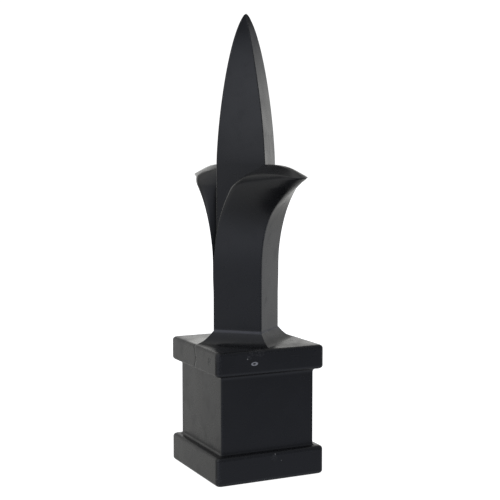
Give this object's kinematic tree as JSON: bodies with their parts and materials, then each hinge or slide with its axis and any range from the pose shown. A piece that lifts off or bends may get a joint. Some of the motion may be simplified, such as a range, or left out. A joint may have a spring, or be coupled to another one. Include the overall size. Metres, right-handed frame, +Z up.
{
  "type": "trident fence finial",
  "caption": "Moulded fence picket cap: a square socket with collars, a square shaft turned cornerwise, outward-curling horns and a central spear.",
  "frame": {"origin": "middle of the underside of the lower collar, on the picket's axis", "axes": "+Z up along the spear; the horns reach out along +Y and -Y; X is across the trident, and the socket's sides are square to X and Y"},
  "size_m": [0.028, 0.058, 0.1098],
  "materials": {
    "black_plastic": "satin black injection-moulded plastic, slightly glossy, with faint handling marks"
  },
  "bodies": {
    "root": {"finial": "black_plastic"}
  },
  "joints": []
}
